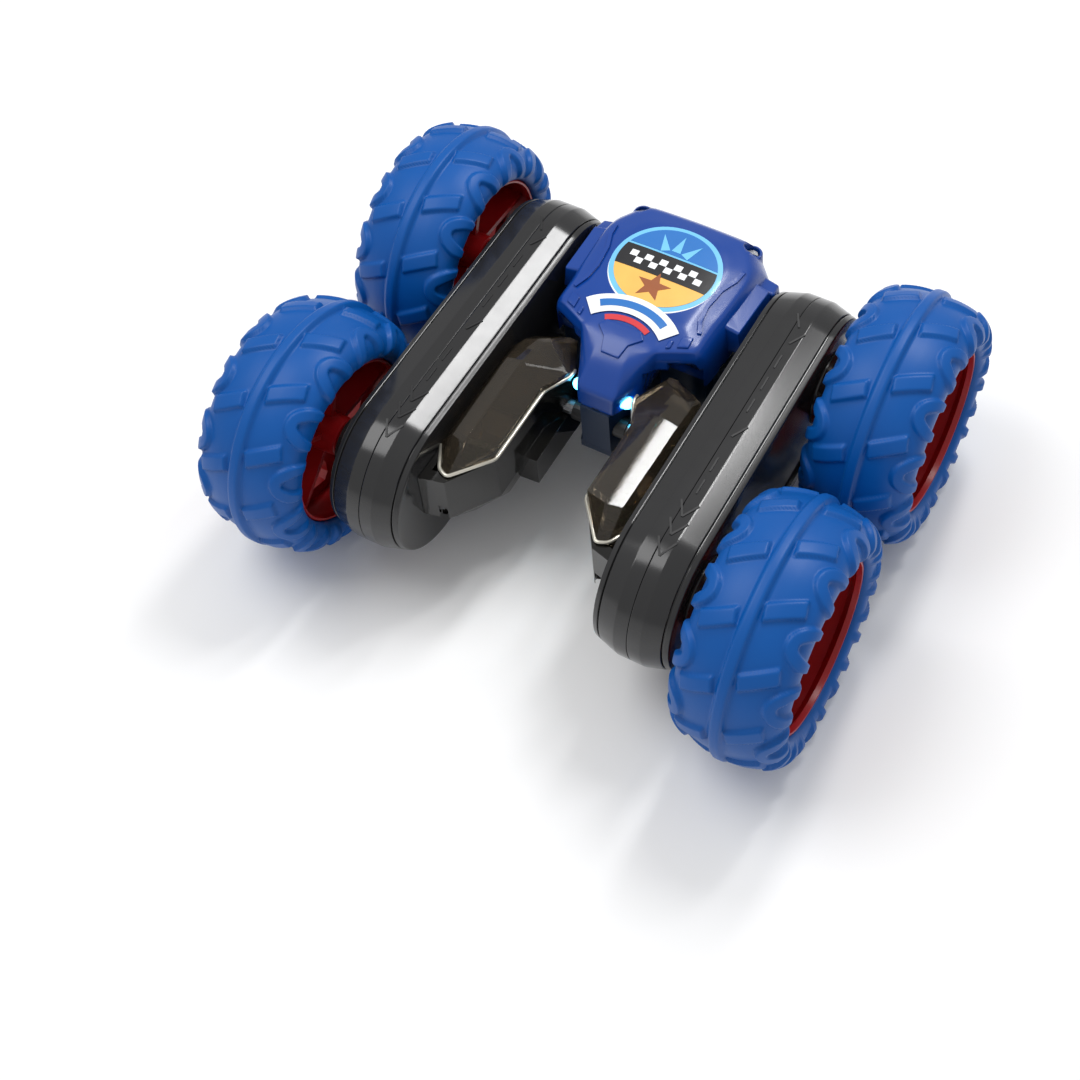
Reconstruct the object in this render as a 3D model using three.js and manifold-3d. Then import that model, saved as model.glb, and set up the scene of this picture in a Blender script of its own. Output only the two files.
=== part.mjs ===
// Double-sided radio-controlled stunt car, in millimetres, +Z up.
// The wheel axles run along X, the nose faces -Y, and the tyres stand on z = 0.
// A central body carries two long gear-case arms on one cross pivot; each arm turns on the
// pivot and drives its own pair of wheels through a closed train of spur gears.
import * as THREE from "three";
import { mergeVertices } from "three/addons/utils/BufferGeometryUtils.js";
import { ConvexGeometry } from "three/addons/geometries/ConvexGeometry.js";
import Module from "manifold-3d";

const wasm = await Module();
wasm.setup();

// ---- driving dimensions -------------------------------------------------------------------
const WHEELBASE = 73.5; // front axle to rear axle
const TRACK = 137.6; // tyre centre to tyre centre across the car
const TYRE_R = 35; // over the centre rib
const TYRE_W = 29.4; // sidewall to sidewall
const LUG_PITCHES = 12; // tread bars round the tyre, on each side of the rib
const AXLE_Z = TYRE_R; // every axle and the body's mid-plane
const ARM_X = 38.8; // centre plane of an arm
const ARM_HALF = 10.2; // half of an arm's thickness
const ARM_R = 22; // radius of the arm's round ends over the centre band
const WALL = 1.8; // moulded wall of the gear cases
const STEP = WHEELBASE / 4; // distance between neighbouring gears of the train
const TEETH = 14; // train gears
const TEETH_BIG = 20; // large wheel of the reduction gear
const TEETH_PINION = 8; // motor pinion
const MODULE = STEP / TEETH; // gear module
const BODY_SPLIT = 8; // half height of the chassis frame, where the two body shells begin
const POD_SWEEP = 17.3; // radius about the pivot that the rear of a pod stays inside
const POCKET_R = 18.3; // radius of the pocket in the body that the pod turns in
const GAP = 0.3; // running and seating gap

// ---- materials ----------------------------------------------------------------------------
const finish = (color, roughness, metalness = 0, opacity = 1) =>
  new THREE.MeshStandardMaterial({
    color,
    roughness,
    metalness,
    opacity,
    transparent: opacity < 1,
  });
const BLUE_RUBBER = finish(0x2a6cc4, 0.55);
const RED_PLASTIC = finish(0xb8181c, 0.35);
const BLUE_GLOSS = finish(0x2748b4, 0.22);
const NAVY_GLOSS = finish(0x122a58, 0.25);
const BLACK_GLOSS = finish(0x2c2c2e, 0.2);
const BLACK_MATTE = finish(0x1c1c1e, 0.6);
const SMOKE_CLEAR = finish(0x4a453c, 0.08, 0, 0.55);
const STEEL = finish(0xb4b6ba, 0.3, 1);
const BRASS = finish(0xb8924a, 0.35, 1);
const WHITE_NYLON = finish(0xe6e4dc, 0.45);
const GREEN_BOARD = finish(0x1e5a34, 0.5);
const COOL_LENS = finish(0xc8f0ff, 0.1, 0, 0.8);
const CELL_WRAP = finish(0x2f6f55, 0.4);
const BADGE_PRINT = finish(0x8fc9ea, 0.35);

// ---- solids -------------------------------------------------------------------------------
// A closed three.js geometry as a manifold-3d solid.
function solid(geometry) {
  const bare = geometry.index ? geometry.toNonIndexed() : geometry.clone();
  for (const name of Object.keys(bare.attributes)) {
    if (name !== "position") bare.deleteAttribute(name);
  }
  const merged = mergeVertices(bare, 1e-4);
  const mesh = new wasm.Mesh({
    numProp: 3,
    vertProperties: merged.attributes.position.array,
    triVerts: new Uint32Array(merged.index.array),
  });
  return new wasm.Manifold(mesh);
}

// A manifold-3d solid back as a three.js geometry.
function geometryOf(shape) {
  const mesh = shape.getMesh();
  const array = new Float32Array(mesh.numVert * 3);
  for (let i = 0; i < mesh.numVert; i++) {
    array.set(mesh.vertProperties.subarray(i * mesh.numProp, i * mesh.numProp + 3), i * 3);
  }
  const geometry = new THREE.BufferGeometry();
  geometry.setAttribute("position", new THREE.BufferAttribute(array, 3));
  geometry.setIndex(new THREE.BufferAttribute(mesh.triVerts, 1));
  geometry.computeVertexNormals();
  return geometry;
}

const join = (shapes) => shapes.reduce((a, b) => a.add(b));
const cut = (shape, ...tools) => tools.reduce((a, b) => a.subtract(b), shape);

function box(x0, x1, y0, y1, z0, z1) {
  const g = new THREE.BoxGeometry(x1 - x0, y1 - y0, z1 - z0);
  return solid(g.translate((x0 + x1) / 2, (y0 + y1) / 2, (z0 + z1) / 2));
}

// Cylinder along X from x0 to x1.
function rodX(r, x0, x1, y = 0, z = 0, segments = 14) {
  const g = new THREE.CylinderGeometry(r, r, x1 - x0, segments);
  return solid(g.rotateZ(-Math.PI / 2).translate((x0 + x1) / 2, y, z));
}

// Cylinder along Z from z0 to z1, with its own radius at each end.
function rodZ(r, z0, z1, x = 0, y = 0, segments = 12, top = r) {
  const g = new THREE.CylinderGeometry(top, r, z1 - z0, segments);
  return solid(g.rotateX(Math.PI / 2).translate(x, y, (z0 + z1) / 2));
}

// Solid of revolution about the X axis; profile is [x, r] pairs that close on themselves or the axis.
function turned(profile, segments = 48) {
  const points = profile.map(([x, r]) => new THREE.Vector2(r, x));
  const g = new THREE.LatheGeometry(points, segments);
  return solid(g.rotateZ(-Math.PI / 2));
}

const hull = (points) => solid(new ConvexGeometry(points.map((p) => new THREE.Vector3(...p))));

// Solid through stacked outlines with the same number of points: layers are [z, [[x, y], ...]].
function loft(layers) {
  const count = layers[0][1].length;
  const positions = [];
  for (const [z, outline] of layers) {
    for (const [x, y] of outline) positions.push(x, y, z);
  }
  const index = [];
  for (let l = 0; l + 1 < layers.length; l++) {
    for (let i = 0; i < count; i++) {
      const a = l * count + i;
      const b = l * count + ((i + 1) % count);
      index.push(a, b, a + count, b, b + count, a + count);
    }
  }
  const cap = (layer, flip) => {
    const outline = layers[layer][1].map(([x, y]) => new THREE.Vector2(x, y));
    for (const [a, b, c] of THREE.ShapeUtils.triangulateShape(outline, [])) {
      const base = layer * count;
      index.push(base + a, base + (flip ? c : b), base + (flip ? b : c));
    }
  };
  cap(0, true);
  cap(layers.length - 1, false);
  const g = new THREE.BufferGeometry();
  g.setAttribute("position", new THREE.Float32BufferAttribute(positions, 3));
  g.setIndex(index);
  return solid(g);
}

// A full outline, anticlockwise, from its right half that runs from the nose to the tail.
function symmetric(half) {
  const left = half
    .filter(([x]) => x > 0)
    .map(([x, y]) => [-x, y])
    .reverse();
  return half.concat(left);
}

// Stacked stadium outlines along X: profile is [x, r] pairs in rising x.
function stadium(profile, segments = 8) {
  const positions = [];
  const index = [];
  const count = 2 * (segments + 1);
  for (const [x, r] of profile) {
    for (const [side, start] of [[1, -Math.PI / 2], [-1, Math.PI / 2]]) {
      for (let i = 0; i <= segments; i++) {
        const a = start + (Math.PI * i) / segments;
        positions.push(x, (side * WHEELBASE) / 2 + r * Math.cos(a), r * Math.sin(a));
      }
    }
  }
  for (let l = 0; l + 1 < profile.length; l++) {
    for (let i = 0; i < count; i++) {
      const a = l * count + i;
      const b = l * count + ((i + 1) % count);
      index.push(a, b, a + count, b, b + count, a + count);
    }
  }
  const last = (profile.length - 1) * count;
  for (let i = 1; i + 1 < count; i++) {
    index.push(0, i + 1, i);
    index.push(last, last + i, last + i + 1);
  }
  const g = new THREE.BufferGeometry();
  g.setAttribute("position", new THREE.Float32BufferAttribute(positions, 3));
  g.setIndex(index);
  return solid(g);
}

// ---- gears --------------------------------------------------------------------------------
// Involute spur gear about X between x0 and x1; phase turns a tooth centre from +Y by that angle.
function gear(teeth, x0, x1, phase = 0) {
  const pressure = (20 * Math.PI) / 180;
  const pitch = (MODULE * teeth) / 2;
  const base = pitch * Math.cos(pressure);
  const tip = pitch + 0.82 * MODULE;
  const root = pitch - 1.1 * MODULE;
  const backlash = 0.24 / pitch;
  const inv = (r) => {
    const t = Math.sqrt(Math.max((r / base) ** 2 - 1, 0));
    return t - Math.atan(t);
  };
  const halfAt = (r) => Math.PI / (2 * teeth) - backlash / 2 + inv(pitch) - inv(Math.max(r, base));
  const flank = [root, tip];
  const outline = [];
  for (let i = 0; i < teeth; i++) {
    const centre = phase + (2 * Math.PI * i) / teeth;
    const left = flank.map((r) => [r, centre - Math.min(halfAt(r), Math.PI / teeth - 0.02)]);
    const right = flank.map((r) => [r, centre + Math.min(halfAt(r), Math.PI / teeth - 0.02)]);
    for (const [r, a] of left.concat(right.reverse())) {
      outline.push(new THREE.Vector2(r * Math.cos(a), r * Math.sin(a)));
    }
  }
  const section = new THREE.Shape(outline);
  const g = new THREE.ExtrudeGeometry(section, { depth: x1 - x0, bevelEnabled: false, steps: 1 });
  // The extrusion's x, y, z become Y, Z, X.
  const turn = new THREE.Matrix4().set(0, 0, 1, x0, 1, 0, 0, 0, 0, 1, 0, 0, 0, 0, 0, 1);
  return solid(g.applyMatrix4(turn));
}

// ---- scene graph helpers ------------------------------------------------------------------
const car = new THREE.Group();
const midplane = new THREE.Group();
midplane.position.z = AXLE_Z;
car.add(midplane);

// Adds one named piece; mirrored pieces are reflected in the plane x = 0 and keep faces outwards.
function add(name, shape, material, mirrored = false) {
  const geometry = geometryOf(mirrored ? shape.mirror([1, 0, 0]) : shape);
  const mesh = new THREE.Mesh(geometry, material);
  mesh.name = name;
  midplane.add(mesh);
  return mesh;
}

// ---- body ---------------------------------------------------------------------------------
// Right halves of the body's outline at rising heights above the mid-plane.
const BODY_LAYERS = [
  [8.0, [[0, -3.4], [5.2, -3.4], [7.0, 1.2], [9.0, 6.0], [10.3, 10.3], [20.6, 14.8],
    [22.6, 17.0], [23.2, 25.0], [23.7, 29.0], [24.8, 47.5], [24.4, 53.5], [17.6, 60.6], [0, 61.2]]],
  [14.0, [[0, -3.0], [5.4, -3.0], [7.5, 1.2], [9.6, 6.0], [10.6, 10.2], [20.8, 14.6],
    [22.6, 16.6], [23.0, 24.4], [23.4, 28.6], [24.4, 47.0], [23.9, 52.6], [17.3, 60.0], [0, 60.6]]],
  [20.0, [[0, 3.6], [4.8, 3.8], [8.0, 5.6], [10.0, 7.6], [11.4, 10.0], [20.9, 14.5],
    [22.2, 16.2], [22.3, 24.0], [22.6, 28.8], [23.2, 45.4], [22.0, 50.2], [16.6, 58.4], [0, 59.0]]],
  [22.6, [[0, 9.0], [4.0, 9.2], [8.0, 9.6], [9.8, 9.8], [11.2, 10.8], [19.6, 15.0],
    [20.4, 17.0], [20.2, 24.0], [21.0, 29.4], [21.6, 43.8], [19.8, 48.2], [15.0, 55.4], [0, 56.0]]],
  [24.2, [[0, 17.0], [4.0, 17.0], [7.0, 17.4], [8.4, 17.8], [9.6, 18.4], [14.0, 20.4],
    [15.0, 22.4], [15.0, 26.0], [15.4, 30.0], [15.6, 41.6], [14.0, 45.0], [11.0, 50.0], [0, 50.6]]],
];
// Inside of the two shells, clear of a 2 mm wall.
const CAVITY_LAYERS = [
  [7.0, [[0, 21.0], [20.4, 21.0], [21.2, 26.0], [21.7, 31.0], [22.6, 47.0],
    [22.2, 52.0], [16.2, 58.2], [0, 58.6]]],
  [14.0, [[0, 21.0], [20.0, 21.0], [20.8, 26.0], [21.2, 31.0], [22.2, 46.6],
    [21.6, 51.0], [15.8, 57.4], [0, 57.8]]],
  [20.6, [[0, 21.0], [15.0, 21.0], [16.0, 26.0], [16.6, 31.0], [17.2, 43.0],
    [15.6, 47.0], [11.0, 52.6], [0, 53.0]]],
];
const FRAME_OUTLINE = [[0, -4.0], [4.3, -4.0], [5.4, -1.0], [7.4, 5.0], [7.8, 18.6], [21.4, 18.6],
  [22.8, 20.2], [23.2, 26.0], [23.7, 30.0], [24.8, 48.0], [24.4, 54.0], [17.6, 60.4], [0, 61.0]];
const FRAME_BAY = [[0, 21.0], [20.2, 21.0], [21.2, 27.0], [21.8, 31.6], [22.6, 48.0],
  [22.2, 52.6], [16.4, 58.2], [0, 58.8]];

const pocket = (side) => {
  const x0 = side > 0 ? 9.2 : -40;
  const x1 = side > 0 ? 40 : -9.2;
  return rodX(POCKET_R, x0, x1, 0, 0, 24);
};
const lipNotch = (side) => {
  const [a, b] = side > 0 ? [9.2, 22.0] : [-22.0, -9.2];
  return box(a, b, 4, 18.2, 0, 15.6);
};

// Fender bars and lugs along both rear sides of a shell.
function fenders(side) {
  const bar = hull([
    [21.6, 28.2, 20.0], [26.4, 28.2, 19.2], [21.6, 46.2, 19.4], [26.8, 46.0, 18.4],
    [22.6, 27.6, 10.4], [27.2, 28.4, 11.4], [22.6, 46.8, 10.4], [27.7, 46.2, 11.0],
  ]);
  const lug = hull([
    [22.6, 45.6, 16.4], [27.6, 45.8, 15.4], [22.6, 51.4, 16.0], [27.0, 51.0, 15.0],
    [22.6, 45.2, 9.0], [28.2, 45.6, 9.6], [22.6, 51.8, 9.0], [27.6, 51.4, 9.6],
  ]);
  const both = bar.add(lug);
  return side > 0 ? both : both.mirror([1, 0, 0]);
}

function bodyShell() {
  const outer = loft(BODY_LAYERS.map(([z, half]) => [z, symmetric(half)]));
  const bosses = [-1, 1].map((s) => rodZ(3.0, 14, 19.6, s * 16.8, 55.6, 20, 2.6));
  const body = join([outer, ...bosses, fenders(1), fenders(-1)]);
  const cavity = loft(CAVITY_LAYERS.map(([z, half]) => [z, symmetric(half)]));
  const posts = [-1, 1].map((s) => rodZ(2.8, BODY_SPLIT, 19, s * 16.8, 55.0, 14));
  const hollow = cut(body, cut(cavity, ...posts));
  const holes = [-1, 1].map((s) => rodZ(1.25, 0, 17.2, s * 16.8, 55.4, 8));
  const heads = [-1, 1].map((s) => rodZ(2.15, 17.0, 30, s * 16.8, 55.4, 8));
  return cut(hollow, pocket(1), pocket(-1), lipNotch(1), lipNotch(-1), ...holes, ...heads);
}

const shell = bodyShell();
const lampSeats = [-1, 1].map((s) => rodX(2.0, s > 0 ? 4.6 : -9, s > 0 ? 9 : -4.6, 1.0, 9.9, 14));
add("body_shell_upper", cut(shell, rodZ(13.4, 23.75, 30, 0, 33.5, 40), ...lampSeats), BLUE_GLOSS);

// The lower shell's nose slopes back, so that the car rolls over an obstacle on either side.
const noseSlope = hull([-12, 12].flatMap((x) => [
  [x, -10, 6.0], [x, -10, 30], [x, 16, 25.0], [x, 16, 30],
]));

const doorSize = { x: 17, y0: 26, y1: 50 };
const doorRecess = box(-doorSize.x - GAP, doorSize.x + GAP, doorSize.y0 - GAP, doorSize.y1 + GAP, 21.6, 30);
const cellHatch = box(-14, 14, 28.5, 44.0, 15, 30);
const switchSlot = box(-4.2, 4.2, 14.2, 18.6, 15, 30);
const lowerRaw = cut(shell, noseSlope, doorRecess, cellHatch, switchSlot, rodZ(1.3, 15, 30, 0, 47.2, 8));
const switchPocket = box(-6.4, 6.4, 13.0, 19.8, 16.4, 20.2);
add("body_shell_lower", cut(lowerRaw, switchPocket).mirror([0, 0, 1]), NAVY_GLOSS);

const door = cut(
  box(-doorSize.x, doorSize.x, doorSize.y0, doorSize.y1, 21.6, 24.2),
  rodZ(2.3, 23.0, 30, 0, 47.2, 18),
  rodZ(1.3, 20, 30, 0, 47.2, 18),
  ...[-2, -1, 0, 1, 2].map((i) => box(-8, 8, 30.2 + i * 1.6, 31.0 + i * 1.6, 23.7, 30)),
);
add("battery_door", door.mirror([0, 0, 1]), NAVY_GLOSS);

// A small slotted screw along Z, its head's top at z.
function screwZ(x, y, z, length, headR = 1.9) {
  const head = rodZ(headR, z - 1.3, z, x, y, 18, headR * 0.86);
  const shank = rodZ(0.95, z - 1.3 - length, z - 1.2, x, y, 8);
  return cut(head.add(shank), box(x - 2.4, x + 2.4, y - 0.3, y + 0.3, z - 0.6, z + 1));
}
add("door_screw", screwZ(0, 47.2, 24.4, 3.0).mirror([0, 0, 1]), STEEL);
for (const [name, s] of [["shell_screw_left", -1], ["shell_screw_right", 1]]) {
  add(name, screwZ(s * 16.8, 55.4, 18.8, 8.0), STEEL);
}

const frameHalf = BODY_SPLIT - GAP / 2;
const frameBody = loft([-frameHalf, frameHalf].map((z) => [z, symmetric(FRAME_OUTLINE)]));
const frameBay = loft([[-20, symmetric(FRAME_BAY)], [20, symmetric(FRAME_BAY)]]);
const screwPosts = [-1, 1].map((s) => rodZ(2.8, -7.8, 7.8, s * 16.8, 55.0, 14));
const chassis = cut(
  join([cut(frameBody, frameBay), ...screwPosts, box(-6, 6, 19.5, 23, -7.8, -3)]),
  ...[-1, 1].map((s) => rodZ(1.25, -10, 10, s * 16.8, 55.4, 8)),
  rodX(3.25, -20, 20, 0, 0, 14),
  pocket(1), pocket(-1),
  box(-4.6, 4.6, 56, 70, -3.4, 3.4),
);
add("chassis_frame", chassis, NAVY_GLOSS);

add("pivot_shaft", rodX(2.4, -17, 17, 0, 0, 14), STEEL);
for (const [name, s] of [["pivot_bush_left", true], ["pivot_bush_right", false]]) {
  const bush = turned([[3.0, 2.6], [3.0, 3.1], [8.0, 3.1], [8.0, 2.6], [3.0, 2.6]], 20);
  add(name, bush, BLACK_MATTE, s);
}

const cell = rodX(7.0, -20.4, 20.4, 42.0, -0.4, 10);
add("battery_cell", cell.add(rodX(2.6, 20.2, 21.4, 42.0, -0.4, 8)), CELL_WRAP);
const board = join([
  box(-19, 19, 23.5, 33.5, 8.8, 10.2),
  box(-12, -4, 25, 31, 10.0, 11.8),
  box(2, 7, 25, 30, 10.0, 11.4),
  box(9, 15, 25, 31, 10.0, 13.0),
  rodZ(2.0, 10.0, 14.0, -15.6, 29, 8),
]);
add("control_board", board, GREEN_BOARD);
for (const [name, mirrored] of [["headlight_left", true], ["headlight_right", false]]) {
  const lens = turned([[4.8, 0], [4.8, 1.7], [7.6, 1.7], [8.6, 1.1], [8.9, 0]], 20);
  add(name, lens.translate([0, 1.0, 9.9]), COOL_LENS, mirrored);
}
const charge = cut(box(-4.3, 4.3, 56.3, 61.0, -3.1, 3.1), box(-2.9, 2.9, 57.6, 64, -1.8, 1.8));
add("charge_socket", charge, BLACK_MATTE);
const knob = join([
  box(-4.9, 1.9, 13.6, 19.2, 16.8, 18.2),
  box(-3.8, 0.8, 14.6, 18.2, 18.0, 22.2),
]);
add("power_switch", knob.mirror([0, 0, 1]), BLACK_MATTE);
const badge = rodZ(13.1, 23.9, 24.7, 0, 33.5, 48, 12.8);
add("hood_badge", badge, BADGE_PRINT);

// ---- arms ---------------------------------------------------------------------------------
// Section of the outer surface across an arm, as [distance from its centre plane, radius].
const ARM_SECTION = [[0, ARM_R], [3.8, ARM_R], [9.0, 20.5], [ARM_HALF - 0.2, 20.2], [ARM_HALF, 19.8]];
const AXLE_Y = WHEELBASE / 2;
const LAYER_A = [40.4, 45.6]; // the train of five gears
const LAYER_B = [32.6, 37.4]; // pinion and the large wheel of the reduction gear
const BORE = 1.35;

function armHalf(outerSide) {
  const dir = outerSide ? 1 : -1;
  const section = ARM_SECTION.map(([u, r], i) => [ARM_X + dir * (i ? u : GAP / 2), r]);
  const rising = outerSide ? section : section.slice().reverse();
  const skin = stadium(rising);
  const room = outerSide
    ? [[ARM_X - 1, ARM_R - WALL - 0.6], [ARM_X + ARM_HALF - WALL, ARM_R - WALL - 1.6]]
    : [[ARM_X - ARM_HALF + WALL, ARM_R - WALL - 1.6], [ARM_X + 1, ARM_R - WALL - 0.6]];
  return cut(skin, stadium(room));
}

const hubOuter = (s) => {
  const y = s * AXLE_Y;
  return join([
    rodX(8.2, ARM_X + ARM_HALF - 1, 56.4, y, 0, 14),
    rodX(3.6, 46.2, ARM_X + ARM_HALF, y, 0, 14),
  ]);
};
const outerPins = [-STEP, STEP].map((y) => rodX(1.2, 39.4, 48.4, y, 0, 8));
const casePosts = [-9.2, 9.2].map((z) => [11.0, z]);
const outerPosts = casePosts.map(([y, z]) => rodX(2.6, 39.0, 48.4, y, z * 1.55, 18));
const caseOuter = cut(
  join([armHalf(true), hubOuter(1), hubOuter(-1), ...outerPins, ...outerPosts]),
  ...[-1, 1].map((s) => rodX(2.3, 30, 70, s * AXLE_Y, 0, 14)),
  ...[-1, 1].map((s) => rodX(5.0, 52.0, 70, s * AXLE_Y, 0, 14)),
  ...casePosts.map(([y, z]) => rodX(0.9, 36, 46, y, z * 1.55, 8)),
);
const innerPin = rodX(1.2, 30, 47.0, 0, 0, 8);
const innerHubs = [-1, 1].map((s) => rodX(3.6, 29.4, 39.6, s * AXLE_Y, 0, 14));
const innerPosts = casePosts.map(([y, z]) => rodX(2.6, 29, 38.4, y, z * 1.55, 18));
const caseInner = cut(
  join([armHalf(false), innerPin, ...innerHubs, ...innerPosts]),
  ...[-1, 1].map((s) => rodX(2.3, 30.6, 70, s * AXLE_Y, 0, 14)),
  rodX(3.4, 20, 32, -STEP, 0, 14),
  ...casePosts.map(([y, z]) => rodX(1.15, 20, 50, y, z * 1.55, 8)),
  ...casePosts.map(([y, z]) => rodX(2.2, 20, 30.4, y, z * 1.55, 8)),
);

// Plan of a pod: the front part and the rear part round the pivot, each convex.
const POD_FRONT = [[13.3, -31.5], [21.6, -41.8], [24.4, -40.6], [28.2, -33.6], [28.2, -2.0], [13.3, -6.0]];
const POD_REAR = [[13.3, -8.0], [28.2, -8.0], [28.2, 3.0], [25.0, 8.4], [16.4, 12.4], [13.8, 12.2],
  [9.5, 3.6], [9.5, 0.5]];
const prism = (outline, z0, z1) => hull(outline.flatMap(([x, y]) => [[x, y, z0], [x, y, z1]]));
const taper = (outline, z0, outline1, z1) =>
  hull(outline.map(([x, y]) => [x, y, z0]).concat(outline1.map(([x, y]) => [x, y, z1])));

// Everything behind the pivot that lies within the sweep radius, with all that is in front of it.
const sweepGuard = join([rodX(POD_SWEEP, 5, 40, 0, 0, 24), box(5, 40, -60, 0, -40, 40)]);

const BASE_FRONT = [[13.3, -31.5], [21.4, -43.6], [28.2, -45.4], [28.2, -8.0], [13.3, -8.0]];
const BASE_LOW = [[15.4, -25.0], [20.4, -34.0], [28.2, -38.0], [28.2, -8.0], [15.4, -8.0]];
const baseShape = join([
  prism(BASE_FRONT, -4.4, 11.4),
  taper(BASE_LOW, -12.4, BASE_FRONT, -4.4),
  prism(POD_REAR, -12.0, 11.4),
  prism([[9.6, -19.0], [16.0, -19.4], [16.0, 2.0], [9.6, 2.0]], -12.0, -2.0),
]).intersect(sweepGuard);
const baseRoom = join([
  prism([[15.2, -30.8], [22.4, -40.4], [26.4, -41.6], [26.4, -9.6], [15.2, -9.6]], -3.0, 20),
  rodX(7.3, 14.6, 26.6, -STEP, 0, 14),
  prism([[15.2, -12], [26.4, -12], [26.4, 2.0], [24.0, 6.4], [17.0, 9.8], [15.2, 9.0]], 3.6, 20),
]);
const podBase = cut(
  baseShape, baseRoom,
  rodX(3.4, 20, 40, -STEP, 0, 14),
  rodX(2.8, 0, 17.4, 0, 0, 18),
  rodZ(1.3, -12, 8, 23.4, -40.2, 8), rodZ(2.4, -8, 0.5, 23.4, -42.0, 18),
);

// Faceted clear cover: rim outline at its foot, then the crease, the ridge and the outer slope.
const coverFront = [
  ...POD_FRONT.map(([x, y]) => [x, y, 11.8]),
  [13.3, -31.0, 14.8], [13.3, -7.0, 14.8], [21.4, -41.0, 12.6], [24.4, -39.6, 12.6],
  [20.4, -34.4, 18.4], [20.4, -5.0, 19.0], [24.6, -33.0, 17.4], [25.2, -5.0, 17.6],
  [28.2, -33.2, 12.8], [28.2, -2.4, 12.8],
];
const coverRear = [
  ...POD_REAR.map(([x, y]) => [x, y, 11.8]),
  [13.3, -8.0, 14.8], [9.8, 1.0, 13.4], [14.2, 9.0, 14.2], [20.4, -6.0, 18.9], [20.2, 5.0, 17.0],
  [25.2, -6.0, 17.5], [25.0, 3.8, 15.6], [28.2, -8.0, 12.8], [28.2, 2.0, 12.6],
];
const inset = (points, k, dz) =>
  points.map(([x, y, z]) => [
    20.6 + (x - 20.6) * k,
    -16 + (y + 16) * (k + 0.04),
    z < 12 ? 11 : z - dz,
  ]);
const coverRoom = join([hull(inset(coverFront, 0.84, 1.2)), hull(inset(coverRear, 0.84, 1.2))]);
const podCover = cut(join([hull(coverFront), hull(coverRear)]).intersect(sweepGuard), coverRoom);

// Brushed motor along X with flat flanks, its shaft reaching into the gear case.
const motorBody = cut(
  rodX(7.0, 15.0, 28.2, -STEP, 0, 14).add(rodX(3.0, 27.6, 29.6, -STEP, 0, 14)),
  rodX(0.62, 29.0, 40, -STEP, 0, 8),
);
const motorFlats = [[6, 8], [-8, -6]].map(([z0, z1]) => box(14, 27.9, -STEP - 8, -STEP + 8, z0, z1));
const motorCan = cut(motorBody, ...motorFlats).intersect(box(14, 26.2, -40, 0, -9, 9));
const motorShape = join([
  motorCan,
  rodX(3.0, 25.6, 29.6, -STEP, 0, 14),
  rodX(0.8, 29.0, 32.0, -STEP, 0, 8),
]);

// Gear phases: a tooth of one gear meets a gap of the next on the line of centres.
const toothPitch = (2 * Math.PI) / TEETH;
const PHASE_GAP = toothPitch / 2; // an even count: teeth and gaps alternate along the train
const trainGear = (phase, hub = 2.8) =>
  cut(gear(TEETH, LAYER_A[0], LAYER_A[1], phase), rodX(hub, 30, 60, 0, 0, 14));
const reduction = cut(
  join([
    gear(TEETH, LAYER_A[0], LAYER_A[1], 0),
    gear(TEETH_BIG, LAYER_B[0], LAYER_B[1], 0),
    rodX(4.2, LAYER_B[0], LAYER_A[0] + 1, 0, 0, 14),
  ]),
  rodX(BORE + 0.15, 20, 60, 0, 0, 18),
);
const pinionShape = cut(
  gear(TEETH_PINION, LAYER_B[0], LAYER_B[1], Math.PI / TEETH_PINION),
  rodX(1.1, 20, LAYER_B[0] + 0.0001, 0, 0, 8),
);

// Two light-emitting diodes and their driver on a strip under the clear cover.
const lightBoard = join([
  box(17.0, 24.6, -33.0, -26.6, 8.2, 9.4),
  rodZ(1.4, 9.2, 12.6, 19.0, -30.0, 8),
  rodZ(1.4, 9.2, 12.6, 22.6, -30.0, 8),
  box(16.4, 25.2, -32.0, -27.8, 7.4, 8.4),
]);

// Screw along X from the inner wall of the case, head towards the car's centre.
function caseScrew(y, z) {
  const head = rodX(1.9, 28.7, 30.1, y, z, 18);
  const shank = rodX(0.8, 30.0, 44.0, y, z, 8);
  return cut(head.add(shank), box(28, 29.3, y - 2.4, y + 2.4, z - 0.3, z + 0.3));
}

for (const side of ["left", "right"]) {
  const m = side === "left";
  add(`gear_case_outer_${side}`, caseOuter, BLACK_GLOSS, m);
  add(`gear_case_inner_${side}`, caseInner, BLACK_GLOSS, m);
  add(`pod_base_${side}`, podBase, BLACK_MATTE, m);
  add(`pod_cover_${side}`, podCover, SMOKE_CLEAR, m);
  add(`drive_motor_${side}`, motorShape, STEEL, m);
  add(`light_board_${side}`, lightBoard, GREEN_BOARD, m);
  add(`motor_pinion_${side}`, pinionShape.translate([0, -STEP, 0]), BRASS, m);
  add(`reduction_gear_${side}`, reduction, WHITE_NYLON, m);
  add(`idler_gear_front_${side}`, trainGear(PHASE_GAP, BORE + 0.15).translate([0, -STEP, 0]), WHITE_NYLON, m);
  add(`idler_gear_rear_${side}`, trainGear(PHASE_GAP, BORE + 0.15).translate([0, STEP, 0]), WHITE_NYLON, m);
  add(`case_screw_${side}`, caseScrew(11.0, 9.2 * 1.55), STEEL, m);
}

// ---- wheels -------------------------------------------------------------------------------
const T = TYRE_W / 2;
// Tread section on one side of the rib, as [distance from the tyre's centre, radius of the
// carcass, radius over the lug]; bars stand beside the rib, and hooks run over the shoulder.
const TREAD = [[1.3, TYRE_R, TYRE_R], [1.7, 33.5, 33.5], [3.0, 33.4, 34.9],
  [12.4, 31.0, 33.6], [14.5, 29.0, 31.4], [T, 24.2, 24.2]];
const TYRE_IN = [[T - 3.0, 27.9]];
const ring = (profile, segments) => turned(profile.concat([profile[0]]), segments);

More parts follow.
